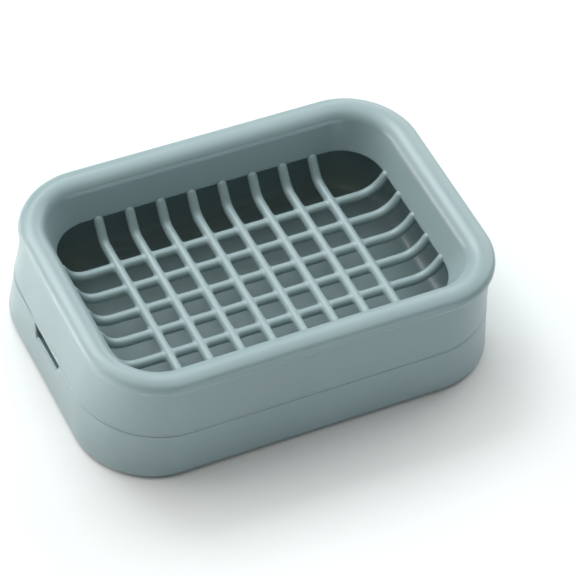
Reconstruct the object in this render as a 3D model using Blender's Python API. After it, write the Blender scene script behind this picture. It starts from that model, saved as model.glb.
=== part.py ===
"""Draining soap box in two mouldings, in metres, +Z up, origin at the middle of the underside.

The water box is a shallow tub with a locating lip round its top. The draining tray stands
on the tub's shoulder: a rolled rim, a basin wall inside, a skirt outside and a grid of
round bars across the basin. The tray lifts straight off, so that the tub can be emptied.
"""

import math

import bmesh
import bpy
from mathutils import Matrix

# The outline that both mouldings share, X along the long side.
LENGTH = 0.128
WIDTH = 0.090
HEIGHT = 0.037
CORNER_RADIUS = 0.0229
WALL = 0.0018
CORNER_STEPS = 9

# The water box.
BOX_HEIGHT = 0.0170
BASE_EDGE_RADIUS = 0.0022
SHOULDER_EDGE_RADIUS = 0.0006
FLOOR_THICKNESS = 0.0020
FLOOR_FILLET_RADIUS = 0.0055
INNER_DRAFT = math.radians(1.5)
LIP_HEIGHT = 0.0026
LIP_THICKNESS = 0.0012
LIP_LEAD_IN = 0.0003
FOOT_RING_WIDTH = 0.0065
FOOT_RING_HEIGHT = 0.0006

# The finger notch in the left end of the shoulder.
NOTCH_LENGTH = 0.0155
NOTCH_DEPTH = 0.0024
CUT_OVERRUN = 0.0010

# Running fits: the lip inside the skirt, and the skirt above the shoulder.
LIP_CLEARANCE = 0.0003
SEAT_GAP = 0.0003

# The tray's rolled rim, basin wall and skirt.
RIM_SETBACK = 0.0010
RIM_NOSE_RADIUS = 0.0022
RIM_TUCK = math.radians(52)
RIM_CROWN_INSET = 0.0049
RIM_CROWN_RADIUS = 0.0065
RIM_ROLL_RADIUS = 0.0048
RIM_ROLL_TURN = math.radians(14)
BASIN_DEPTH = 0.0117
BASIN_SETBACK = 0.0126
BASIN_CORNER_RADIUS = 0.0127

# The drain grid: cross bars run along Y, long bars along X just below them.
BAR_DIAMETER = 0.0025
CROSS_BAR_COUNT = 8
CROSS_BAR_PITCH = 0.0098
LONG_BAR_COUNT = 5
LONG_BAR_PITCH = 0.0090
LONG_BAR_DROP = 0.0004
GRID_DROP = 0.0058
CROSS_BEND_RADIUS = 0.0050
CROSS_BEND_ANGLE = math.radians(47)
LONG_BEND_RADIUS = 0.0090
LONG_BEND_ANGLE = math.radians(60)
BAR_END_INSET = 0.0126
BAR_END_DROP = 0.0002
BEND_STEPS = 5
TIP_STEPS = 2
WELD_DISTANCE = 0.00001

COLOUR = (0.268, 0.352, 0.368, 1.0)
ROUGHNESS = 0.28
SHARP_ANGLE = math.radians(35)


def clear_scene():
    for obj in list(bpy.data.objects):
        bpy.data.objects.remove(obj, do_unlink=True)
    for mesh in list(bpy.data.meshes):
        bpy.data.meshes.remove(mesh)


def new_collection(name, is_helper=False):
    collection = bpy.data.collections.new(name)
    collection.hide_render = is_helper
    bpy.context.scene.collection.children.link(collection)
    return collection


def plastic(name):
    """Moulded polypropylene, coloured right through."""
    material = bpy.data.materials.new(name)
    material.use_nodes = True
    shader = material.node_tree.nodes["Principled BSDF"]
    shader.inputs["Base Color"].default_value = COLOUR
    shader.inputs["Roughness"].default_value = ROUGHNESS
    shader.inputs["Metallic"].default_value = 0.0
    material.diffuse_color = COLOUR
    return material


# Sections. A station is (inset from the outline, height, corner radius); a moulding's
# surface is the skin through the rounded rectangles that its stations stand for.


def arc(inset, height, radius, start, end, steps):
    """Points on a circle in the section, measured from inwards towards up."""
    turns = [start + (end - start) * i / steps for i in range(steps + 1)]
    return [(inset + radius * math.cos(t), height + radius * math.sin(t)) for t in turns]


def parallel(points):
    """Stations whose corners stay parallel to the outline's."""
    return [(inset, height, CORNER_RADIUS - inset) for inset, height in points]


def rim_nose_turn():
    """How far the rim's outline has turned from level where its crown meets its nose."""
    across = RIM_CROWN_INSET - RIM_SETBACK - RIM_NOSE_RADIUS
    return math.asin(across / (RIM_CROWN_RADIUS - RIM_NOSE_RADIUS))


def rim_nose_centre():
    apart = RIM_CROWN_RADIUS - RIM_NOSE_RADIUS
    drop = RIM_CROWN_RADIUS - apart * math.cos(rim_nose_turn())
    return RIM_SETBACK + RIM_NOSE_RADIUS, HEIGHT - drop


def rim_roll_centre():
    apart = RIM_CROWN_RADIUS - RIM_ROLL_RADIUS
    return (
        RIM_CROWN_INSET + apart * math.sin(RIM_ROLL_TURN),
        HEIGHT - RIM_CROWN_RADIUS + apart * math.cos(RIM_ROLL_TURN),
    )


def wall_top():
    """Where the outer wall meets the underside of the rolled rim."""
    inset, height = rim_nose_centre()
    return (
        inset - RIM_NOSE_RADIUS * math.cos(RIM_TUCK),
        height - RIM_NOSE_RADIUS * math.sin(RIM_TUCK),
    )


def wall_inset(height):
    """The outer wall spreads from the rim down to the base in one parabola."""
    top_inset, top_height = wall_top()
    rise = (height - BASE_EDGE_RADIUS) / (top_height - BASE_EDGE_RADIUS)
    return top_inset * max(rise, 0.0) ** 2


def wall_points(low, high, steps, thickness=0.0):
    heights = [low + (high - low) * i / steps for i in range(steps + 1)]
    return [(wall_inset(height) + thickness, height) for height in heights]


def basin_edge_height():
    return HEIGHT - BASIN_DEPTH


def basin_wall():
    """(inset, height) where the basin wall leaves the rolled rim, and its angle from upright."""
    inset, height = rim_roll_centre()
    across = BASIN_SETBACK - inset
    down = height - basin_edge_height()
    lean = math.atan2(across, down) - math.asin(RIM_ROLL_RADIUS / math.hypot(across, down))
    return (
        inset + RIM_ROLL_RADIUS * math.cos(lean),
        height + RIM_ROLL_RADIUS * math.sin(lean),
        lean,
    )


def loop_points(inset, height, radius):
    """A rounded rectangle inside the outline, anticlockwise from above."""
    half_length = LENGTH / 2 - inset
    half_width = WIDTH / 2 - inset
    points = []
    for quarter in range(4):
        side = 1 if quarter in (0, 3) else -1
        end = 1 if quarter in (0, 1) else -1
        for step in range(CORNER_STEPS + 1):
            turn = (quarter + step / CORNER_STEPS) * math.pi / 2
            x = side * (half_length - radius) + radius * math.cos(turn)
            y = end * (half_width - radius) + radius * math.sin(turn)
            points.append((x, y, height))
    return points


def skin(name, stations, is_ring):
    """A loft through the stations: a ring joins its last one to its first, a tub caps both."""
    bm = bmesh.new()
    loops = [[bm.verts.new(point) for point in loop_points(*station)] for station in stations]
    pairs = list(zip(loops, loops[1:]))
    if is_ring:
        pairs.append((loops[-1], loops[0]))
    else:
        bm.faces.new(loops[0])
        bm.faces.new(loops[-1])
    for lower, upper in pairs:
        for i, corner in enumerate(lower):
            bm.faces.new((lower[i - 1], corner, upper[i], upper[i - 1]))
    bmesh.ops.recalc_face_normals(bm, faces=bm.faces)
    mesh = bpy.data.meshes.new(name)
    bm.to_mesh(mesh)
    bm.free()
    return bpy.data.objects.new(name, mesh)


def finish(obj, collection, material, origin_height=0.0):
    """Gives a moulding its material, smooth faces and an origin on the lifting axis."""
    collection.objects.link(obj)
    obj.data.materials.clear()
    obj.data.materials.append(material)
    obj.data.transform(Matrix.Translation((0.0, 0.0, -origin_height)))
    obj.location.z = origin_height
    obj.data.shade_smooth()
    obj.data.set_sharp_from_angle(angle=SHARP_ANGLE)


# The water box.


def lip_inset():
    return wall_inset(BOX_HEIGHT) + WALL + LIP_CLEARANCE


def water_box_stations():
    lip_top = BOX_HEIGHT + LIP_HEIGHT
    lip_face = lip_inset()
    lip_back = lip_face + LIP_THICKNESS
    edge = SHOULDER_EDGE_RADIUS
    shoulder = wall_inset(BOX_HEIGHT)
    fillet = FLOOR_FILLET_RADIUS
    floor_rise = lip_top - FLOOR_THICKNESS - fillet
    wall_foot = lip_back + floor_rise * math.tan(INNER_DRAFT)
    ring_edge = BASE_EDGE_RADIUS + FOOT_RING_WIDTH
    outside = [
        (ring_edge + FOOT_RING_HEIGHT, FOOT_RING_HEIGHT),
        (ring_edge, 0.0),
        *arc(BASE_EDGE_RADIUS, BASE_EDGE_RADIUS, BASE_EDGE_RADIUS, -math.pi / 2, -math.pi, 4),
        *wall_points(BASE_EDGE_RADIUS, BOX_HEIGHT - edge, 4)[1:],
        *arc(shoulder + edge, BOX_HEIGHT - edge, edge, math.pi, math.pi / 2, 3)[1:],
        (lip_face, BOX_HEIGHT),
        (lip_face, lip_top - LIP_LEAD_IN),
        (lip_face + LIP_LEAD_IN, lip_top),
        (lip_back - LIP_LEAD_IN, lip_top),
        (lip_back, lip_top - LIP_LEAD_IN),
    ]
    fillet_arc = arc(wall_foot + fillet, FLOOR_THICKNESS + fillet, fillet, math.pi, 3 * math.pi / 2, 6)
    return parallel(outside + fillet_arc)


def runs_inwards(edge):
    """True for an edge of the notch cutter that crosses the wall."""
    return edge.verts[0].co.x != edge.verts[1].co.x


def notch_cutter(collection):
    """A trough across the left wall and the lip, with its two bottom edges rounded."""
    outer = -LENGTH / 2 - CUT_OVERRUN
    inner = -LENGTH / 2 + lip_inset() + LIP_THICKNESS + CUT_OVERRUN
    top = BOX_HEIGHT + LIP_HEIGHT + CUT_OVERRUN
    bottom = BOX_HEIGHT - NOTCH_DEPTH
    bm = bmesh.new()
    bmesh.ops.create_cube(bm, size=1.0)
    bmesh.ops.scale(bm, vec=(inner - outer, NOTCH_LENGTH, top - bottom), verts=bm.verts)
    centre = ((inner + outer) / 2, 0.0, (top + bottom) / 2)
    bmesh.ops.translate(bm, vec=centre, verts=bm.verts)
    floor = [edge for edge in bm.edges if max(v.co.z for v in edge.verts) < BOX_HEIGHT]
    bmesh.ops.bevel(
        bm,
        geom=list(filter(runs_inwards, floor)),
        offset=NOTCH_DEPTH,
        segments=4,
        profile=0.5,
        affect="EDGES",
    )
    mesh = bpy.data.meshes.new("notch_cutter")
    bm.to_mesh(mesh)
    bm.free()
    cutter = bpy.data.objects.new("notch_cutter", mesh)
    cutter.hide_render = True
    cutter.display_type = "WIRE"
    collection.objects.link(cutter)
    return cutter


def make_water_box(collection, helpers, material):
    box = skin("water_box", water_box_stations(), is_ring=False)
    finish(box, collection, material)
    notch = box.modifiers.new("finger notch", "BOOLEAN")
    notch.operation = "DIFFERENCE"
    notch.solver = "EXACT"
    notch.object = notch_cutter(helpers)
    return box


# The draining tray.


def skirt_foot():
    return BOX_HEIGHT + SEAT_GAP


def tray_stations():
    nose_inset, nose_height = rim_nose_centre()
    roll_inset, roll_height = rim_roll_centre()
    top_height = wall_top()[1]
    leave_inset, leave_height, lean = basin_wall()
    foot = skirt_foot()
    edge = WALL / 2
    tuck = math.pi + RIM_TUCK
    crown = (RIM_CROWN_INSET, HEIGHT - RIM_CROWN_RADIUS)
    crown_start = math.pi / 2 + rim_nose_turn()
    crown_end = math.pi / 2 - RIM_ROLL_TURN
    outside = [
        *wall_points(foot, top_height, 5)[:-1],
        *arc(nose_inset, nose_height, RIM_NOSE_RADIUS, tuck, crown_start, 6),
        *arc(*crown, RIM_CROWN_RADIUS, crown_start, math.pi / 2, 3)[1:],
        *arc(*crown, RIM_CROWN_RADIUS, math.pi / 2, crown_end, 2)[1:],
        *arc(roll_inset, roll_height, RIM_ROLL_RADIUS, crown_end, lean, 5)[1:],
    ]
    # The basin wall keeps its corner radius all the way down, so its two faces stay parallel.
    edge_centre = BASIN_SETBACK - edge
    round_edge = arc(edge_centre, basin_edge_height() + edge, edge, lean, lean - math.pi, 5)
    corner_centre = BASIN_CORNER_RADIUS + BASIN_SETBACK
    basin = [(inset, height, corner_centre - inset) for inset, height in round_edge]
    under_roll = arc(roll_inset, roll_height, RIM_ROLL_RADIUS - WALL, lean, crown_end, 3)
    under_crown = arc(*crown, RIM_CROWN_RADIUS - WALL, crown_end, crown_start, 2)[1:]
    ceiling = wall_points(foot, top_height - WALL, 4, WALL)[::-1]
    return parallel(outside) + basin + parallel(under_roll + under_crown + ceiling)


def bend_path(half_run, end_height, radius, angle):
    """Half of a bar's centre line from the middle out: flat, bent up, then straight to its end."""
    climb = end_height - radius * (1 - math.cos(angle))
    bend_start = half_run - radius * math.sin(angle) - climb / math.tan(angle)
    turns = [angle * i / BEND_STEPS for i in range(BEND_STEPS + 1)]
    path = [(bend_start + radius * math.sin(t), radius * (1 - math.cos(t))) for t in turns]
    return path + [(half_run, end_height)]


def bar_points(half_run, end_height, radius, angle):
    """(distance along the bar, height, radius share) from tip to tip, with round tips."""
    path = bend_path(half_run, end_height, radius, angle)
    end_run, end_height = path[-1]
    half = [(run, height, 1.0) for run, height in path]
    for step in range(1, TIP_STEPS + 1):
        turn = step / (TIP_STEPS + 1) * math.pi / 2
        reach = BAR_DIAMETER / 2 * math.sin(turn)
        half.append((
            end_run + reach * math.cos(angle),
            end_height + reach * math.sin(angle),
            math.cos(turn),
        ))
    mirrored = [(-run, height, share) for run, height, share in reversed(half)]
    return mirrored + half


def make_bar(name, points, helpers, place):
    """A round bar along the points, as a closed mesh kept among the helpers."""
    curve = bpy.data.curves.new(name, "CURVE")
    curve.dimensions = "3D"
    curve.bevel_depth = BAR_DIAMETER / 2
    curve.bevel_resolution = 2
    curve.use_fill_caps = True
    spline = curve.splines.new("POLY")
    spline.points.add(len(points) - 1)
    for point, (run, height, share) in zip(spline.points, points):
        point.co = (*place(run), height, 1.0)
        point.radius = share
    guide = bpy.data.objects.new(name + "_guide", curve)
    helpers.objects.link(guide)
    bpy.context.view_layer.update()
    graph = bpy.context.evaluated_depsgraph_get()
    mesh = bpy.data.meshes.new_from_object(guide.evaluated_get(graph))
    bm = bmesh.new()
    bm.from_mesh(mesh)
    bmesh.ops.remove_doubles(bm, verts=bm.verts, dist=WELD_DISTANCE)
    bmesh.ops.recalc_face_normals(bm, faces=bm.faces)
    bm.to_mesh(mesh)
    bm.free()
    bar = bpy.data.objects.new(name, mesh)
    bar.matrix_world = guide.matrix_world
    bar.hide_render = True
    bar.display_type = "WIRE"
    helpers.objects.link(bar)
    bpy.data.objects.remove(guide, do_unlink=True)
    return bar


def spread(count, pitch):
    return [(i - (count - 1) / 2) * pitch for i in range(count)]


def make_bars(helpers):
    """Every bar rises at its ends against the lower edge of the basin wall."""
    end_height = basin_edge_height() - BAR_END_DROP
    axis = basin_edge_height() - GRID_DROP
    bars = []
    half_run = WIDTH / 2 - BAR_END_INSET
    for i, x in enumerate(spread(CROSS_BAR_COUNT, CROSS_BAR_PITCH)):
        points = bar_points(half_run, end_height - axis, CROSS_BEND_RADIUS, CROSS_BEND_ANGLE)
        points = [(run, axis + height, share) for run, height, share in points]
        bars.append(make_bar(f"cross_bar_{i + 1}", points, helpers, lambda run, x=x: (x, run)))
    low_axis = axis - LONG_BAR_DROP
    half_run = LENGTH / 2 - BAR_END_INSET
    for i, y in enumerate(spread(LONG_BAR_COUNT, LONG_BAR_PITCH)):
        points = bar_points(half_run, end_height - low_axis, LONG_BEND_RADIUS, LONG_BEND_ANGLE)
        points = [(run, low_axis + height, share) for run, height, share in points]
        bars.append(make_bar(f"long_bar_{i + 1}", points, helpers, lambda run, y=y: (run, y)))
    return bars


def make_draining_tray(collection, helpers, material):
    tray = skin("draining_tray", tray_stations(), is_ring=True)
    origin_height = skirt_foot()
    finish(tray, collection, material, origin_height)
    for bar in make_bars(helpers):
        joint = tray.modifiers.new(bar.name, "BOOLEAN")
        joint.operation = "UNION"
        joint.solver = "EXACT"
        joint.object = bar
    return tray


def main():
    clear_scene()
    bpy.context.scene.unit_settings.system = "METRIC"
    parts = new_collection("draining_soap_box")
    helpers = new_collection("cutters", is_helper=True)
    make_water_box(parts, helpers, plastic("water box polypropylene"))
    make_draining_tray(parts, helpers, plastic("draining tray polypropylene"))


main()
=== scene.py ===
import bpy
import numpy as np
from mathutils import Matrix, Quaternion, Vector


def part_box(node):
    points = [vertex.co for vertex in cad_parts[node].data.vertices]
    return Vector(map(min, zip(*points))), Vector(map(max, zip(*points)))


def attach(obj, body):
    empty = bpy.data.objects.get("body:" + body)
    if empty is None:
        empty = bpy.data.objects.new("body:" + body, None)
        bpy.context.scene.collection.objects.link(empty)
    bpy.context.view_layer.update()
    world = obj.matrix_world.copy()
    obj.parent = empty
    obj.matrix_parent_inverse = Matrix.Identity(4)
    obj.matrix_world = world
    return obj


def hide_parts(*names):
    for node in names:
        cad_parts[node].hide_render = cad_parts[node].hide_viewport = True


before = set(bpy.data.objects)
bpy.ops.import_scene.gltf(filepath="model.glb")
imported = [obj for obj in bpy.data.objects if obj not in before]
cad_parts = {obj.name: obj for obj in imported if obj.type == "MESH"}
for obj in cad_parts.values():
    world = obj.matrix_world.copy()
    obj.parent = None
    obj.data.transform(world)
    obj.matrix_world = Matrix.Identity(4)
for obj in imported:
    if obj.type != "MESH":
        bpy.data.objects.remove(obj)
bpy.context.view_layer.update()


# Water box, the lower of the two mouldings. It is injection-moulded polypropylene, a tub with a
# flared wall, a rounded shoulder that carries the tray, and a lip that keeps the tray in place.
# A scoop in the left end of the shoulder gives a fingertip its hold under the tray.

BOX_LOW, BOX_HIGH = (np.array(corner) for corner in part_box("water_box"))
HALF_SPAN = (BOX_HIGH - BOX_LOW)[:2] / 2
LIP_TOP = BOX_HIGH[2]

CORNER_RADIUS = 0.0229
WALL = 0.0018
SHOULDER_HEIGHT = 0.0170
SHOULDER_INSET = 0.00040
SHOULDER_EDGE = 0.0004
SHOULDER_BAND = 0.0010
SHOULDER_LEAN = 0.00006
WALL_TOP_INSET = 0.00198
WALL_TOP_HEIGHT = 0.03376
CORNER_WAIST = 0.0025
BASE_EDGE = 0.0022
FLOOR_THICKNESS = 0.0020
FLOOR_FILLET = 0.0055
INNER_DRAFT = np.radians(1.5)
LIP_CLEARANCE = 0.0003
LIP_THICKNESS = 0.0012
LIP_EDGE = 0.0003
FOOT_RING_WIDTH = 0.0065
FOOT_RING_HEIGHT = 0.0006
FOOT_RING_EDGE = 0.0004
CREASE_DEGREES = 50

NOTCH_LENGTH = 0.0155
NOTCH_DEPTH = 0.0033
NOTCH_TAPER = 0.0003
NOTCH_CORNER = 0.0010
NOTCH_LEAD = 0.0004
NOTCH_SLOPE = 1.2
NOTCH_NICK = 0.0005
NOTCH_SOFTNESS = 0.0002
NOTCH_FOOT = 0.0071
NOTCH_SIDE_COLUMNS = np.array([0.00005, 0.0003, 0.0008, 0.002, 0.004, 0.008])


def arc(centre, radius, start, end, steps):
    """Points of a circle in a section, (steps + 1) x 2: the centre plus the radius times the
    cosine and sine of even angles. A section's axes are the distance inwards from the outline and
    the height, so an angle turns from inwards, at 0, to up, at 90 degrees."""
    turn = np.radians(np.linspace(start, end, steps + 1))
    return np.asarray(centre) + radius * np.stack([np.cos(turn), np.sin(turn)], axis=1)


def line(start, end, steps):
    """Points of a straight stretch in a section, (steps + 1) x 2, at even shares of the way."""
    share = np.linspace(0.0, 1.0, steps + 1)[:, None]
    return np.asarray(start) * (1.0 - share) + np.asarray(end) * share


def wall_inset(height):
    """How far the outer wall stands inside the outline: it grows with the square of the height
    over the bottom edge up to the shoulder, and evenly from there up to the wall's top."""
    rise = np.clip((height - BASE_EDGE) / (SHOULDER_HEIGHT - BASE_EDGE), 0.0, 1.0)
    above = np.clip(height - SHOULDER_HEIGHT, 0.0, None)
    slope = (WALL_TOP_INSET - SHOULDER_INSET) / (WALL_TOP_HEIGHT - SHOULDER_HEIGHT)
    return SHOULDER_INSET * rise**2 + slope * above


def corner_radii(section):
    """Each section point's corner radius: the outline's less the point's inset, which keeps the
    corners parallel, plus a half sine over the wall's height, which gives them a slight waist."""
    rise = np.clip((section[:, 1] - BASE_EDGE) / (WALL_TOP_HEIGHT - BASE_EDGE), 0.0, 1.0)
    return CORNER_RADIUS - section[:, 0] + CORNER_WAIST * np.sin(np.pi * rise)


def wall_line(low, high, steps, thickness=0.0):
    """Points of the wall between two heights: of its outer face, or of the inner face, which
    stands one thickness further in."""
    height = np.linspace(low, high, steps + 1)
    return np.stack([wall_inset(height) + thickness, height], axis=1)


def outline(corner_steps, end_shares, side_steps):
    """A rounded rectangle as two N x 2 arrays. The first holds where each point's corner centre
    lies, as shares of the centres' half spacing, and runs from sign to sign along a straight side.
    The second holds the unit vector from there to the point."""
    turn = np.radians(np.linspace(0.0, 90.0, corner_steps + 1))
    side_shares = np.linspace(1.0, -1.0, side_steps + 1)[1:-1]
    corners = [(1.0, 1.0), (-1.0, 1.0), (-1.0, -1.0), (1.0, -1.0)]
    anchors = []
    normals = []
    for quarter, corner in enumerate(corners):
        angle = turn + quarter * np.pi / 2
        anchors.append(np.tile(corner, (len(turn), 1)))
        normals.append(np.stack([np.cos(angle), np.sin(angle)], axis=1))
        following = corners[(quarter + 1) % 4]
        shares = end_shares if quarter % 2 else side_shares
        blend = (1.0 - shares[:, None]) / 2
        anchors.append(np.array(corner) * (1.0 - blend) + np.array(following) * blend)
        normals.append(np.tile(normals[-1][-1], (len(shares), 1)))
    return np.concatenate(anchors), np.concatenate(normals)


def carry(section, radii, around):
    """A section carried round an outline, as S x N x 3. A point lies at its corner centre, which
    is the half span less the inset and the corner radius, plus the radius along the outline's
    unit vector, and keeps the section's height."""
    anchors, normals = around
    reach = HALF_SPAN - section[:, None, :1] - radii[:, None, None]
    flat = anchors * reach + normals * radii[:, None, None]
    height = np.broadcast_to(section[:, None, 1:], flat.shape[:2] + (1,))
    return np.concatenate([flat, height], axis=2)


def skin(name, grid, closed):
    """A mesh object of quads over an S x N x 3 grid that closes along N. A closed section joins
    its last row to its first, and an open one gets a flat cap at each end."""
    rows, columns = grid.shape[:2]
    index = np.arange(rows * columns).reshape(rows, columns)
    after = np.roll(index, -1, axis=1)
    last = rows if closed else rows - 1
    corners = [index, after, np.roll(after, -1, axis=0), np.roll(index, -1, axis=0)]
    quads = np.stack(corners, axis=2)[:last].reshape(-1, 4)
    faces = quads.tolist()
    if not closed:
        faces += [index[0, ::-1].tolist(), index[-1].tolist()]
    mesh = bpy.data.meshes.new(name)
    mesh.from_pydata(grid.reshape(-1, 3).tolist(), [], faces)
    mesh.shade_smooth()
    piece = bpy.data.objects.new(name, mesh)
    bpy.context.scene.collection.objects.link(piece)
    return piece


def sharpen(piece, degrees):
    """Keeps an edge crisp where its two faces meet at more than this angle."""
    piece.data.set_sharp_from_angle(angle=np.radians(degrees))


def linear(hex_colour):
    """An sRGB hex colour as linear red, green, blue and alpha."""
    channels = np.array([int(hex_colour[i : i + 2], 16) for i in (1, 3, 5)]) / 255.0
    curve = np.where(channels <= 0.04045, channels / 12.92, ((channels + 0.055) / 1.055) ** 2.4)
    return (*curve.tolist(), 1.0)


def add_node(tree, kind, settings, links):
    """Adds a node, sets its properties and unlinked inputs, and links the others: an entry of
    links is an input's name or number and the output that feeds it."""
    node = tree.nodes.new(kind)
    for name, value in settings.items():
        if isinstance(name, str) and hasattr(node, name):
            setattr(node, name, value)
        else:
            node.inputs[name].default_value = value
    for name, output in links.items():
        tree.links.new(output, node.inputs[name])
    return node


PLASTIC_COLOUR = "#92A5A7"
PLASTIC_SHADE = "#8A9DA0"
PLASTIC_IOR = 1.49
GLOSS_ROUGHNESS = (0.28, 0.34)
GLOW_SHARE = 0.08
GLOW_DEPTH = 0.0012
GLOW_COLOUR = (0.9, 1.0, 1.0)
# Flow marks are a few centimetres wide. The real skin's grain is finer than a pixel, so it is
# drawn half a millimetre wide, as coarse as it needs to be to show.
FLOW_MM = 28.0
GRAIN_MM = 0.55
GRAIN_HEIGHT = 0.00001


def moulded_polypropylene():
    """Polypropylene coloured in the mass and moulded against a polished tool: an even grey
    blue-green with a soft gloss, which lets a little light in. The eye sees the faint unevenness
    of its skin, which blurs the highlights, and a slow drift of tone and gloss where the melt
    ran."""
    material = bpy.data.materials.new("moulded polypropylene")
    material.use_nodes = True
    tree = material.node_tree
    shader = tree.nodes["Principled BSDF"]
    place = add_node(tree, "ShaderNodeTexCoord", {}, {}).outputs["Object"]
    flow = add_node(
        tree,
        "ShaderNodeTexNoise",
        {"Scale": 1000.0 / FLOW_MM, "Detail": 2.0, "Roughness": 0.4},
        {"Vector": place},
    )
    tone = add_node(
        tree,
        "ShaderNodeMix",
        {"data_type": "RGBA", 6: linear(PLASTIC_SHADE), 7: linear(PLASTIC_COLOUR)},
        {0: flow.outputs["Fac"]},
    )
    grain = add_node(
        tree,
        "ShaderNodeTexNoise",
        {"Scale": 1000.0 / GRAIN_MM, "Detail": 3.0, "Roughness": 0.55},
        {"Vector": place},
    )
    gloss = add_node(
        tree,
        "ShaderNodeMapRange",
        {
            "From Min": 0.3,
            "From Max": 0.7,
            "To Min": GLOSS_ROUGHNESS[0],
            "To Max": GLOSS_ROUGHNESS[1],
        },
        {"Value": flow.outputs["Fac"]},
    )
    skin_bump = add_node(
        tree,
        "ShaderNodeBump",
        {"Strength": 0.25, "Distance": GRAIN_HEIGHT},
        {"Height": grain.outputs["Fac"]},
    )
    tree.links.new(tone.outputs[2], shader.inputs["Base Color"])
    tree.links.new(gloss.outputs["Result"], shader.inputs["Roughness"])
    tree.links.new(skin_bump.outputs["Normal"], shader.inputs["Normal"])
    shader.inputs["IOR"].default_value = PLASTIC_IOR
    shader.inputs["Subsurface Weight"].default_value = GLOW_SHARE
    shader.inputs["Subsurface Radius"].default_value = GLOW_COLOUR
    shader.inputs["Subsurface Scale"].default_value = GLOW_DEPTH
    return material


def water_box_section():
    """The tub's section from the recess inside the foot ring, out under the ring, up the wall and
    over the shoulder and the lip, to the floor inside. The middle of the floor and of the recess
    are the skin's flat caps."""
    band_foot = SHOULDER_HEIGHT - SHOULDER_BAND
    lip_face = wall_inset(SHOULDER_HEIGHT) + WALL + LIP_CLEARANCE
    edge_inset = wall_inset(SHOULDER_HEIGHT) + SHOULDER_LEAN
    edge_foot = SHOULDER_HEIGHT - SHOULDER_EDGE
    lip_back = lip_face + LIP_THICKNESS
    ring_edge = BASE_EDGE + FOOT_RING_WIDTH
    ring_fillet = FOOT_RING_HEIGHT - FOOT_RING_EDGE
    fillet_height = FLOOR_THICKNESS + FLOOR_FILLET
    wall_foot = lip_back + (LIP_TOP - fillet_height) * np.tan(INNER_DRAFT)
    return np.concatenate([
        arc((ring_edge + ring_fillet, FOOT_RING_EDGE), ring_fillet, 90, 180, 3),
        arc((ring_edge - FOOT_RING_EDGE, FOOT_RING_EDGE), FOOT_RING_EDGE, 0, -90, 4)[1:],
        line((ring_edge - FOOT_RING_EDGE, 0.0), (BASE_EDGE, 0.0), 3)[1:],
        arc((BASE_EDGE, BASE_EDGE), BASE_EDGE, 270, 180, 10)[1:],
        wall_line(BASE_EDGE, band_foot, 20)[1:],
        line((wall_inset(band_foot), band_foot), (edge_inset, edge_foot), 6)[1:],
        arc((edge_inset + SHOULDER_EDGE, edge_foot), SHOULDER_EDGE, 180, 90, 7)[1:],
        line((edge_inset + SHOULDER_EDGE, SHOULDER_HEIGHT), (lip_face, SHOULDER_HEIGHT), 8)[1:],
        line((lip_face, SHOULDER_HEIGHT), (lip_face, LIP_TOP - LIP_EDGE), 3)[1:],
        arc((lip_face + LIP_EDGE, LIP_TOP - LIP_EDGE), LIP_EDGE, 180, 90, 4)[1:],
        arc((lip_back - LIP_EDGE, LIP_TOP - LIP_EDGE), LIP_EDGE, 90, 0, 4),
        line((lip_back, LIP_TOP - LIP_EDGE), (wall_foot, fillet_height), 16)[1:],
        arc((wall_foot + FLOOR_FILLET, fillet_height), FLOOR_FILLET, 180, 270, 14)[1:],
    ])


def soft_least(first, second, softness):
    """The lesser of two heights. Where they differ by less than the softness, a parabola rounds
    the turn from one to the other."""
    gap = np.clip(0.5 + 0.5 * (second - first) / softness, 0.0, 1.0)
    return second * (1.0 - gap) + first * gap - softness * gap * (1.0 - gap)


def scoop_notch(grid):
    """Lowers the left end's shoulder and lip to the notch's floor. Along the end the floor sinks
    evenly towards the back, with a bell-shaped nick in its last corner, and turns up at both ends
    on a quarter circle, past which it stands over the lip and lowers nothing. From its outer edge,
    a quarter circle too, it falls inwards at one slope, as far as the wall is thick. Points below
    the notch's foot stay where they are."""
    along = np.abs(grid[..., 1])
    inwards = grid[..., 0] + HALF_SPAN[0] - wall_inset(SHOULDER_HEIGHT)
    past = np.clip(along - (NOTCH_LENGTH / 2 - NOTCH_CORNER), 0.0, None)
    turn = np.clip(past / NOTCH_CORNER, 0.0, 1.0)
    rise = NOTCH_CORNER * (1.0 - np.sqrt(1.0 - turn**2))
    rise += np.where(past > NOTCH_CORNER, LIP_TOP, 0.0)
    lead = np.clip(1.0 - inwards / NOTCH_LEAD, 0.0, 1.0)
    fall = NOTCH_LEAD * (1.0 - np.sqrt(1.0 - lead**2))
    fall += NOTCH_SLOPE * np.clip(inwards - NOTCH_LEAD, 0.0, WALL)
    from_nick = (grid[..., 1] - NOTCH_LENGTH / 2 + NOTCH_CORNER) / (NOTCH_CORNER / 2)
    depth = NOTCH_DEPTH + NOTCH_TAPER * grid[..., 1] / (NOTCH_LENGTH / 2)
    depth += NOTCH_NICK * np.exp(-from_nick**2)
    floor = SHOULDER_HEIGHT - depth + rise - fall
    lowered = soft_least(grid[..., 2], floor, NOTCH_SOFTNESS)
    at_left_end = (grid[..., 0] < -HALF_SPAN[0] / 2) & (along < NOTCH_LENGTH)
    near_top = grid[..., 2] > NOTCH_FOOT
    grid[..., 2] = np.where(at_left_end & near_top, lowered, grid[..., 2])
    return grid


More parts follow.
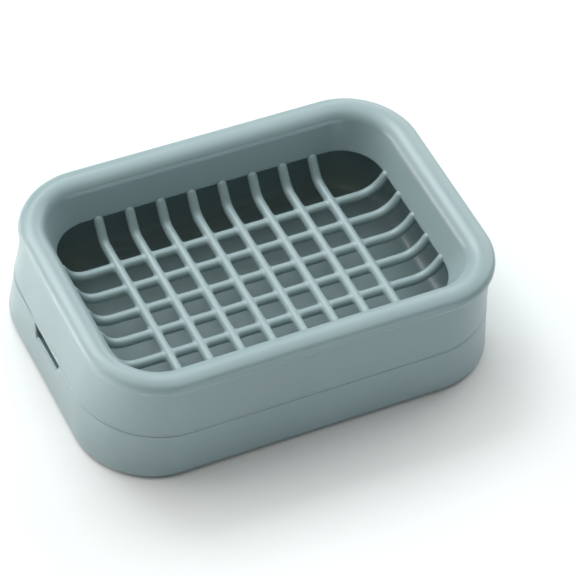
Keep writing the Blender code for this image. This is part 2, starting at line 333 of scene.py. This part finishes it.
def notch_shares():
    """Where the end walls' columns stand, as shares of the wall's half length. They are even along
    the notch, follow the sine of even angles round its corner, and grow apart beyond it."""
    reach = HALF_SPAN[1] - CORNER_RADIUS
    turn = np.radians(np.linspace(0.0, 90.0, 9))
    corner = NOTCH_LENGTH / 2 - NOTCH_CORNER + NOTCH_CORNER * np.sin(turn)
    beyond = corner[-1] + NOTCH_SIDE_COLUMNS
    inside = np.linspace(0.0, corner[0], 9)[1:-1]
    half = np.concatenate([inside, corner, beyond]) / reach
    return np.concatenate([half[::-1], [0.0], -half])


polypropylene = moulded_polypropylene()
box_outline = outline(corner_steps=20, end_shares=notch_shares(), side_steps=16)
box_section = water_box_section()
water_box = skin(
    "water_box_moulding",
    scoop_notch(carry(box_section, corner_radii(box_section), box_outline)),
    closed=False,
)
sharpen(water_box, CREASE_DEGREES)
water_box.data.materials.append(polypropylene)
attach(water_box, "base")
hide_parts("water_box")


# Draining tray, the upper moulding, of the same polypropylene. Its rim is rolled over from the
# skirt outside to the basin wall inside and is open underneath, as the tool leaves it. The skirt
# stands loose on the box's shoulder, round the lip.

RIM_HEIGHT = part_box("draining_tray")[1][2]
NOSE_SETBACK = 0.0010
NOSE_RADIUS = 0.0022
NOSE_INSIDE_END = 170
COVE_RADIUS = 0.0003
COVE_TRIES = 2000
CROWN_INSET = 0.0049
CROWN_RADIUS = 0.0065
ROLL_RADIUS = 0.0048
ROLL_TURN = 14.0
ROLL_TOLERANCE = 0.0001
BASIN_DEPTH = 0.0117
BASIN_EDGE_HEIGHT = RIM_HEIGHT - BASIN_DEPTH
BASIN_SETBACK = 0.0126
BASIN_CORNER_RADIUS = 0.0127
BASIN_EDGE = 0.0004
BASIN_WALL_STEPS = 10
SEAM_GAP = 0.00020
SKIRT_FOOT = SHOULDER_HEIGHT + SEAM_GAP
SKIRT_EDGE = 0.00015
GROOVE_DEPTH = 0.00010
GROOVE_HEIGHT = 0.0182
GROOVE_WIDTH = 0.00035
GROOVE_TOP = 0.0195

WARP_LEFT_END = 0.0010
WARP_LEFT_CORNERS = 0.0011
WARP_FRONT = 0.0006
WARP_FULL_INSET = 0.0020
LEDGE_DEPTH = 0.0006
LEDGE_START = 0.0075
LEDGE_END = 0.030

PARTING_ANGLE = 37.0
PARTING_MARGIN = 5.0
PARTING_HALF_RUN = 0.0415
PARTING_FADE = 0.002
PARTING_DEPTH = 0.00009
PARTING_WIDTH = 0.00016


def rim_circles():
    """Centres of the rim's three circles, which touch one another from inside: the small nose
    outside, the wide crown, and the roll inside. With them comes the turn from nose to crown."""
    crown = np.array([CROWN_INSET, RIM_HEIGHT - CROWN_RADIUS])
    to_nose = CROWN_RADIUS - NOSE_RADIUS
    turn = np.arcsin((CROWN_INSET - NOSE_SETBACK - NOSE_RADIUS) / to_nose)
    nose = crown + to_nose * np.array([-np.sin(turn), np.cos(turn)])
    roll_turn = np.radians(ROLL_TURN)
    roll = crown + (CROWN_RADIUS - ROLL_RADIUS) * np.array([np.sin(roll_turn), np.cos(roll_turn)])
    return nose, crown, roll, np.degrees(turn)


def cove_centre(nose):
    """The small circle that is hollowed out under the nose, with the wall's lean and the height
    where they touch. Its centre stands one radius off the wall along the wall's normal, at the
    height, of many tried, where its distance from the nose's centre is nearest the sum of both
    radii, so that it touches the nose from outside."""
    height = np.linspace(nose[1], SKIRT_FOOT, COVE_TRIES)
    inset = wall_inset(height)
    lean = np.arctan(np.gradient(inset, height))
    centres = np.stack(
        [inset - COVE_RADIUS * np.cos(lean), height + COVE_RADIUS * np.sin(lean)], axis=1
    )
    apart = np.linalg.norm(centres - nose, axis=1)
    row = np.argmin(np.abs(apart - NOSE_RADIUS - COVE_RADIUS))
    return centres[row], np.degrees(lean[row]), height[row]


def basin_lean(roll):
    """The basin wall's angle from upright, so that it runs from its lower edge into the roll: the
    angle from the edge to the roll's centre, less the one whose sine is the roll's radius over
    that distance."""
    across = BASIN_SETBACK - roll[0]
    down = roll[1] - BASIN_EDGE_HEIGHT
    return np.degrees(np.arctan2(across, down) - np.arcsin(ROLL_RADIUS / np.hypot(across, down)))


def tray_section():
    """The tray's closed section: skirt, cove, nose, crown, roll, basin wall, its squared lower
    edge, and back under the rim. The skirt has a groove above the seam, whose depth is a bell
    curve of the height. With the section comes each point's corner radius, which goes evenly from
    the roll's to the lower edge's down the basin wall."""
    nose, crown, roll, nose_turn = rim_circles()
    cove, wall_lean, cove_foot = cove_centre(nose)
    tuck = np.degrees(np.arctan2(nose[1] - cove[1], nose[0] - cove[0]))
    lean = basin_lean(roll)
    foot = wall_inset(SKIRT_FOOT)
    above_parting = PARTING_ANGLE + PARTING_MARGIN
    below_parting = PARTING_ANGLE - PARTING_MARGIN
    wall = np.concatenate([
        wall_line(SKIRT_FOOT + SKIRT_EDGE, GROOVE_TOP, 22)[1:],
        wall_line(GROOVE_TOP, cove_foot, 26)[1:-1],
    ])
    from_groove = (wall[:, 1] - GROOVE_HEIGHT) / GROOVE_WIDTH
    wall[:, 0] += GROOVE_DEPTH * np.exp(-from_groove**2)
    outside = np.concatenate([
        arc((foot + SKIRT_EDGE, SKIRT_FOOT + SKIRT_EDGE), SKIRT_EDGE, 270, 180, 4),
        wall,
        arc(cove, COVE_RADIUS, -wall_lean, tuck, 6),
        arc(nose, NOSE_RADIUS, 180 + tuck, 90 + nose_turn, 16)[1:],
        arc(crown, CROWN_RADIUS, 90 + nose_turn, 90, 9)[1:],
        arc(crown, CROWN_RADIUS, 90, 90 - ROLL_TURN, 5)[1:],
        arc(roll, ROLL_RADIUS, 90 - ROLL_TURN, above_parting, 12)[1:],
        arc(roll, ROLL_RADIUS, above_parting, below_parting, 16)[1:],
        arc(roll, ROLL_RADIUS, below_parting, lean, 8)[1:],
    ])
    inner_edge = np.array([BASIN_SETBACK - BASIN_EDGE, BASIN_EDGE_HEIGHT + BASIN_EDGE])
    outer_edge = inner_edge - [(WALL - 2 * BASIN_EDGE) / np.cos(np.radians(lean)), 0.0]
    lower_edge = np.concatenate([
        arc(inner_edge, BASIN_EDGE, lean, -90, 6),
        arc(outer_edge, BASIN_EDGE, -90, lean - 180, 6),
    ])
    basin_wall = line(outside[-1], lower_edge[0], BASIN_WALL_STEPS)[1:-1]
    under = np.concatenate([
        arc(roll, ROLL_RADIUS - WALL, lean, 90 - ROLL_TURN, 8),
        arc(crown, CROWN_RADIUS - WALL, 90 - ROLL_TURN, 90 + nose_turn, 6)[1:],
        arc(nose, NOSE_RADIUS - WALL, 90 + nose_turn, NOSE_INSIDE_END, 4)[1:],
        wall_line(WALL_TOP_HEIGHT - WALL, SKIRT_FOOT + SKIRT_EDGE, 12, WALL),
        arc((foot + WALL - SKIRT_EDGE, SKIRT_FOOT + SKIRT_EDGE), SKIRT_EDGE, 0, -90, 4)[1:],
    ])
    roll_radius = corner_radii(outside)[-1]
    edge_radii = BASIN_CORNER_RADIUS + BASIN_SETBACK - lower_edge[:, 0]
    share = np.linspace(0.0, 1.0, BASIN_WALL_STEPS + 1)[1:-1]
    radii = np.concatenate([
        corner_radii(outside),
        (1 - share) * roll_radius + share * edge_radii[0],
        edge_radii,
        corner_radii(under),
    ])
    return np.concatenate([outside, basin_wall, lower_edge, under]), radii


def warp_rim(grid, section, around):
    """Warps the upper part of the tray a little, as it does when it cools. The left end moves in,
    and the long sides with it, evenly less up to their middles. Its corners move in along their
    normals, most at their middles, and the front bows in on a cosine. A point moves by the lesser
    of two shares: one grows evenly with the height from the skirt's foot to the rim's top, and
    one shrinks evenly with the inset, from behind the nose to the basin's edge."""
    rise = (section[:, 1] - SKIRT_FOOT) / (RIM_HEIGHT - SKIRT_FOOT)
    depth = (BASIN_SETBACK - section[:, 0]) / (BASIN_SETBACK - WARP_FULL_INSET)
    share = np.clip(np.minimum(rise, depth), 0.0, 1.0)[:, None]
    anchors, normals = around
    left = np.clip(-anchors[:, 0], 0.0, None)
    front = np.clip(-normals[:, 1], 0.0, None) * np.cos(np.pi / 2 * grid[..., 0] / HALF_SPAN[0])
    corner = (np.abs(normals).sum(axis=1) - 1.0) * (normals[:, 0] < 0)
    way_in = -WARP_LEFT_CORNERS * corner[:, None] * normals
    grid[..., 0] += share * (WARP_LEFT_END * left + way_in[:, 0])
    grid[..., 1] += share * (WARP_FRONT * front + way_in[:, 1])
    return grid


def bare_ledge(grid, section):
    """Draws the skirt's outer face in at the back half of the left end, where a strip of the box's
    shoulder shows. Its depth is a half sine along the end, and fades out evenly up the wall."""
    along = np.clip((grid[..., 1] - LEDGE_START) / (LEDGE_END - LEDGE_START), 0.0, 1.0)
    fade = np.clip((RIM_HEIGHT - section[:, 1]) / (RIM_HEIGHT - SKIRT_FOOT), 0.0, 1.0)
    outer = section[:, 0] < wall_inset(section[:, 1]) + WALL / 2
    at_left = grid[..., 0] < -HALF_SPAN[0] / 2
    depth = LEDGE_DEPTH * np.sin(np.pi * along) * at_left
    grid[..., 0] += depth * (fade * outer)[:, None]
    return grid


def press_parting_line(grid, section):
    """Sinks a hairline along the straight part of the back rim's inner side, where two parts of
    the tool met. Its depth is a bell curve of the distance round the roll from the line, and
    fades out evenly at both ends."""
    arm = section - rim_circles()[2]
    angle = np.arctan2(arm[:, 1], arm[:, 0])
    on_roll = np.abs(np.linalg.norm(arm, axis=1) - ROLL_RADIUS) < ROLL_TOLERANCE
    away = ROLL_RADIUS * (angle - np.radians(PARTING_ANGLE)) / PARTING_WIDTH
    depth = np.where(on_roll, PARTING_DEPTH * np.exp(-away**2), 0.0)[:, None]
    along = np.clip((PARTING_HALF_RUN - np.abs(grid[..., 0])) / PARTING_FADE, 0.0, 1.0)
    depth = depth * along * (grid[..., 1] > 0)
    grid[..., 1] += depth * np.cos(angle)[:, None]
    grid[..., 2] -= depth * np.sin(angle)[:, None]
    return grid


tray_points, tray_radii = tray_section()
tray_end_shares = np.linspace(1.0, -1.0, 17)[1:-1]
tray_outline = outline(corner_steps=24, end_shares=tray_end_shares, side_steps=48)
tray_grid = carry(tray_points, tray_radii, tray_outline)
tray_grid = warp_rim(tray_grid, tray_points, tray_outline)
tray_grid = bare_ledge(tray_grid, tray_points)
tray_grid = press_parting_line(tray_grid, tray_points)
tray_shell = skin("draining_tray_rim", tray_grid, closed=True)
sharpen(tray_shell, CREASE_DEGREES)
tray_shell.data.materials.append(polypropylene)
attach(tray_shell, "tray")
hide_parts("draining_tray")


# Drain grid, of the tray's own polypropylene and moulded in one with it: round bars that cross,
# bend up at their ends and run out on the lower edge of the basin wall. The tool leaves a small
# fillet at every crossing.

BAR_RADIUS = 0.00154
BAR_SIDES = 16
BAR_TIP = 0.00128
BAR_TIP_END = 89.0
GRID_DROP = 0.0055
GRID_AXIS_HEIGHT = BASIN_EDGE_HEIGHT - GRID_DROP
CROSS_BAR_COUNT = 8
CROSS_BAR_PITCH = 0.0098
CROSS_BEND_RADIUS = 0.0050
CROSS_BEND_ANGLE = np.radians(47.0)
CROSS_END_SETBACK = 0.0126
CROSS_END_HEIGHT = 0.0251
LONG_BAR_COUNT = 5
LONG_BAR_PITCH = 0.0090
LONG_BAR_DROP = 0.00055
LONG_BEND_RADIUS = 0.0090
LONG_BEND_ANGLE = np.radians(60.0)
LONG_END_SETBACK = 0.0121
LONG_END_HEIGHT = 0.0253
SMOOTHING_PASSES = 8
FACET = 0.00036


def bar_path(half_run, climb, radius, angle):
    """Half of a bar's centre line, as (distance out, height, radius share): flat, then a bend on
    a circle, a straight rise at the bend's angle, and a round tip, where the line goes on by the
    tip's length times the sine of an angle and the share is its cosine. The angle ends just short
    of 90 degrees."""
    bend_rise = radius * (1 - np.cos(angle))
    bend_start = half_run - radius * np.sin(angle) - (climb - bend_rise) / np.tan(angle)
    flat = np.linspace(0.0, bend_start, 30)[:-1]
    turn = np.linspace(0.0, angle, 12)
    bend = np.stack([bend_start + radius * np.sin(turn), radius * (1 - np.cos(turn))], axis=1)
    rise = line(bend[-1], (half_run, climb), 4)[1:]
    way = np.concatenate([np.stack([flat, np.zeros_like(flat)], axis=1), bend, rise])
    tip = np.radians(np.linspace(0.0, BAR_TIP_END, 7))[1:]
    ahead = np.array([np.cos(angle), np.sin(angle)])
    end = way[-1] + BAR_TIP * np.sin(tip)[:, None] * ahead
    share = np.concatenate([np.ones(len(way)), np.cos(tip)])
    return np.column_stack([np.concatenate([way, end]), share])


def bar_grid(half_run, climb, bend_radius, bend_angle):
    """A bar's skin, S x BAR_SIDES x 3, lying along X in its own plane: each point of the centre
    line carries a circle that stands square to the line. The smoothing that follows takes less
    than a tenth of a millimetre off its radius."""
    half = bar_path(half_run, climb, bend_radius, bend_angle)
    mirrored = half[:0:-1] * [-1.0, 1.0, 1.0]
    way = np.concatenate([mirrored, half])
    ahead = np.gradient(way[:, :2], axis=0)
    ahead /= np.linalg.norm(ahead, axis=1, keepdims=True)
    turn = np.linspace(0.0, 2 * np.pi, BAR_SIDES, endpoint=False)
    radius = way[:, 2:] * BAR_RADIUS
    run = way[:, :1] - ahead[:, 1:] * radius * np.cos(turn)
    rise = way[:, 1:2] + ahead[:, :1] * radius * np.cos(turn)
    return np.stack([run, radius * np.sin(turn), rise], axis=2)


def capped_tubes(grids):
    """Points and faces of several closed tubes, each a grid with a flat cap at each end."""
    points = []
    faces = []
    start = 0
    for grid in grids:
        rows, columns = grid.shape[:2]
        index = start + np.arange(rows * columns).reshape(rows, columns)
        after = np.roll(index, -1, axis=1)
        quads = np.stack([index[:-1], after[:-1], after[1:], index[1:]], axis=2)
        faces += quads.reshape(-1, 4).tolist() + [index[0, ::-1].tolist(), index[-1].tolist()]
        points.append(grid.reshape(-1, 3))
        start += rows * columns
    return np.concatenate(points), faces


def bar_places(count, pitch):
    """Where a row of bars lies: one pitch apart, about the middle."""
    return (np.arange(count) - (count - 1) / 2) * pitch


def drain_grid():
    """All the bars as one skin: the tubes overlap, a fine voxel mesh joins them, and smoothing
    that mesh draws the small fillets at the crossings. The long bars lie a little lower."""
    long_axis = GRID_AXIS_HEIGHT - LONG_BAR_DROP
    lengthwise = bar_grid(
        HALF_SPAN[0] - LONG_END_SETBACK,
        LONG_END_HEIGHT - long_axis,
        LONG_BEND_RADIUS,
        LONG_BEND_ANGLE,
    )
    crosswise = bar_grid(
        HALF_SPAN[1] - CROSS_END_SETBACK,
        CROSS_END_HEIGHT - GRID_AXIS_HEIGHT,
        CROSS_BEND_RADIUS,
        CROSS_BEND_ANGLE,
    )
    crosswise = crosswise[..., [1, 0, 2]] * [-1.0, 1.0, 1.0]
    long_places = bar_places(LONG_BAR_COUNT, LONG_BAR_PITCH)
    cross_places = bar_places(CROSS_BAR_COUNT, CROSS_BAR_PITCH)
    bars = [lengthwise + [0.0, y, long_axis] for y in long_places]
    bars += [crosswise + [x, 0.0, GRID_AXIS_HEIGHT] for x in cross_places]
    points, faces = capped_tubes(bars)
    mesh = bpy.data.meshes.new("draining_tray_grid")
    mesh.from_pydata(points.tolist(), [], faces)
    piece = bpy.data.objects.new("draining_tray_grid", mesh)
    bpy.context.scene.collection.objects.link(piece)
    join = piece.modifiers.new("join", "REMESH")
    join.mode = "VOXEL"
    join.voxel_size = FACET
    join.use_smooth_shade = True
    fillets = piece.modifiers.new("fillets", "SMOOTH")
    fillets.factor = 0.5
    fillets.iterations = SMOOTHING_PASSES
    return piece


grid = drain_grid()
grid.data.materials.append(polypropylene)
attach(grid, "tray")
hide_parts("draining_tray")


# Setting: a plain white table top, soft studio light, and the camera where the photograph was
# taken from.

TABLE_HALF = 3.0
TABLE_COLOUR = "#F2F3F3"
OBJECT_MIDDLE = Vector((0.0, 0.0, 0.02))
LEFT_TABLE = Vector((-0.34, 0.06, 0.0))
LAMP_DISTANCE = 1.1
ROOM_COLOUR = "#FFF9EA"
ROOM_STRENGTH = 0.02
CAMERA_PLACE = Vector((-0.29858, -0.53456, 0.68503))
CAMERA_AIM = Vector((0.00863, -0.00641, 0.0180))
CAMERA_ROLL = np.radians(6.392)
LENS_MM = 196.68
SENSOR_MM = 36.0

table_mesh = bpy.data.meshes.new("table_top")
table_corners = TABLE_HALF * np.array([(-1, -1, 0), (1, -1, 0), (1, 1, 0), (-1, 1, 0)])
table_mesh.from_pydata(table_corners.tolist(), [], [(0, 1, 2, 3)])
table_top = bpy.data.objects.new("table_top", table_mesh)
bpy.context.scene.collection.objects.link(table_top)
table_paint = bpy.data.materials.new("white matt table top")
table_paint.use_nodes = True
table_shader = table_paint.node_tree.nodes["Principled BSDF"]
table_shader.inputs["Base Color"].default_value = linear(TABLE_COLOUR)
table_shader.inputs["Roughness"].default_value = 0.9
table_shader.inputs["Specular IOR Level"].default_value = 0.1
table_top.data.materials.append(table_paint)


def softbox(
    name,
    turn,
    size,
    watts,
    colour="#FFFFFF",
    aim=OBJECT_MIDDLE,
    distance=LAMP_DISTANCE,
    spread=180,
):
    """A rectangular lamp, its size in metres and its power in watts, that faces a point from a
    distance. Its turn is its compass angle, from +X towards +Y, and its height angle over the
    table, and its spread is how wide its light opens, all in degrees."""
    light = bpy.data.lights.new(name, "AREA")
    light.shape = "RECTANGLE"
    light.size, light.size_y = size
    light.energy = watts
    light.color = linear(colour)[:3]
    light.spread = np.radians(spread)
    azimuth, elevation = np.radians(turn)
    level = np.cos(elevation)
    away = Vector((np.cos(azimuth) * level, np.sin(azimuth) * level, np.sin(elevation)))
    lamp = bpy.data.objects.new(name, light)
    lamp.location = aim + away * distance
    lamp.rotation_mode = "QUATERNION"
    lamp.rotation_quaternion = away.to_track_quat("Z", "Y")
    bpy.context.scene.collection.objects.link(lamp)


softbox("back_window", (96, 51), (0.70, 0.38), 5.2, "#F6FDFF")
softbox("left_back_wall", (140, 48), (1.30, 1.00), 6.7)
softbox("ceiling_panel", (80, 80), (1.10, 1.00), 5.6, "#F6FEFF")
softbox("right_back_strip", (34, 28), (1.20, 0.80), 7.2)
softbox("left_low_panel", (148, 10), (0.60, 0.30), 4.4, "#FFF4F2")
softbox("front_low_panel", (285, 8), (0.70, 0.24), 2.4, "#E6F2FF")
softbox("front_high_panel", (245, 55), (0.60, 0.42), 0.6, "#FFEFC8")
softbox("table_wash", (0, 90), (0.20, 0.40), 9.0, "#FFF4F2", LEFT_TABLE, distance=0.6, spread=30)

room = bpy.data.worlds.new("studio")
room.use_nodes = True
room.node_tree.nodes["Background"].inputs["Color"].default_value = linear(ROOM_COLOUR)
room.node_tree.nodes["Background"].inputs["Strength"].default_value = ROOM_STRENGTH
bpy.context.scene.world = room
bpy.context.scene.view_settings.view_transform = "Standard"

camera = bpy.data.objects.new("camera", bpy.data.cameras.new("camera"))
camera.data.lens = LENS_MM
camera.data.sensor_width = SENSOR_MM
camera.data.clip_start = 0.05
camera.location = CAMERA_PLACE
camera.rotation_mode = "QUATERNION"
facing = (CAMERA_AIM - CAMERA_PLACE).to_track_quat("-Z", "Y")
camera.rotation_quaternion = facing @ Quaternion((0.0, 0.0, 1.0), CAMERA_ROLL)
bpy.context.scene.collection.objects.link(camera)
bpy.context.scene.camera = camera
